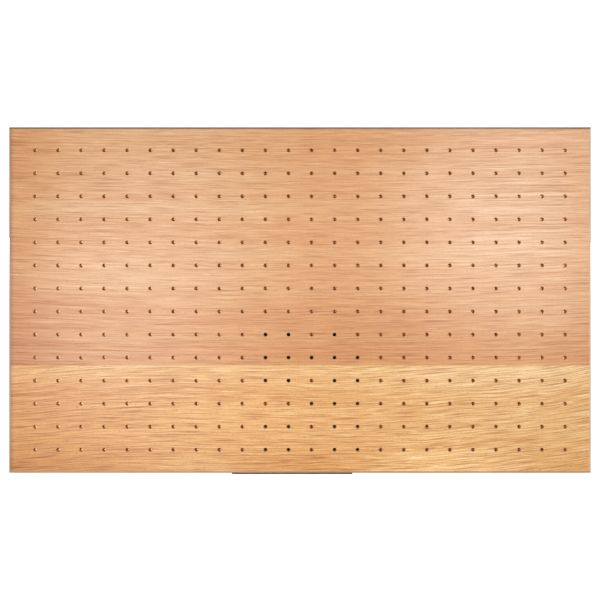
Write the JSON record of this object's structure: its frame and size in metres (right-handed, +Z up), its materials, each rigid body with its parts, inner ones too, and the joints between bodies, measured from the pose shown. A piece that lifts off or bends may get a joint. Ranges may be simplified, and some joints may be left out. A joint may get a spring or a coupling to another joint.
{
  "type": "pegboard display stand",
  "caption": "Oak-veneered countertop pegboard with a square grid of blind peg holes, leaning back on a black steel leg that folds flush into its back.",
  "frame": {"origin": "middle of the bounding box at counter height", "axes": "+X along the board to the right as seen from its front, +Y towards the back, +Z up; the front face leans back 13 degrees and faces -Y"},
  "size_m": [0.808, 0.1264, 0.4725],
  "materials": {
    "oak_upper": "matt oiled oak veneer, pinkish leaf, grain along X",
    "oak_lower": "matt oiled oak veneer, yellower and more figured leaf, grain along X",
    "oak_back": "matt oak balancing veneer",
    "oak_edge": "oak edge lipping, rounded arris, darker than the face",
    "plywood": "plywood core, drilled holes brown inside",
    "black_powder_coat": "black fine-texture powder coat",
    "black_steel": "black oxide steel",
    "plated_steel": "zinc-plated steel",
    "nickel": "nickel-plated magnet",
    "black_rubber": "matt black rubber"
  },
  "bodies": {
    "board": {"face_veneer_upper": "oak_upper", "face_veneer_lower": "oak_lower", "front_panel": "plywood", "back_panel": "plywood", "back_veneer_upper": "oak_back", "back_veneer_lower": "oak_back", "lipping_top": "oak_edge", "lipping_bottom": "oak_edge", "lipping_left": "oak_edge", "lipping_right": "oak_edge", "board_foot": "black_rubber", "corner_pads": "black_rubber", "hinge_board_leaf": "black_steel", "hinge_pin": "plated_steel", "hinge_screws": "plated_steel", "magnet_screws": "plated_steel", "catch_magnets": "nickel"},
    "leg": {"leg_plate": "black_powder_coat", "hinge_leg_leaf": "black_steel", "hinge_rivets": "plated_steel", "leg_foot_pad": "black_rubber"}
  },
  "joints": [
    {"name": "leg_fold", "type": "hinge", "parent": "board", "child": "leg", "pos_m": [0.016, -0.00329, 0.19837], "axis": [-1, 0, 0], "range_deg": [0, 22]}
  ]
}
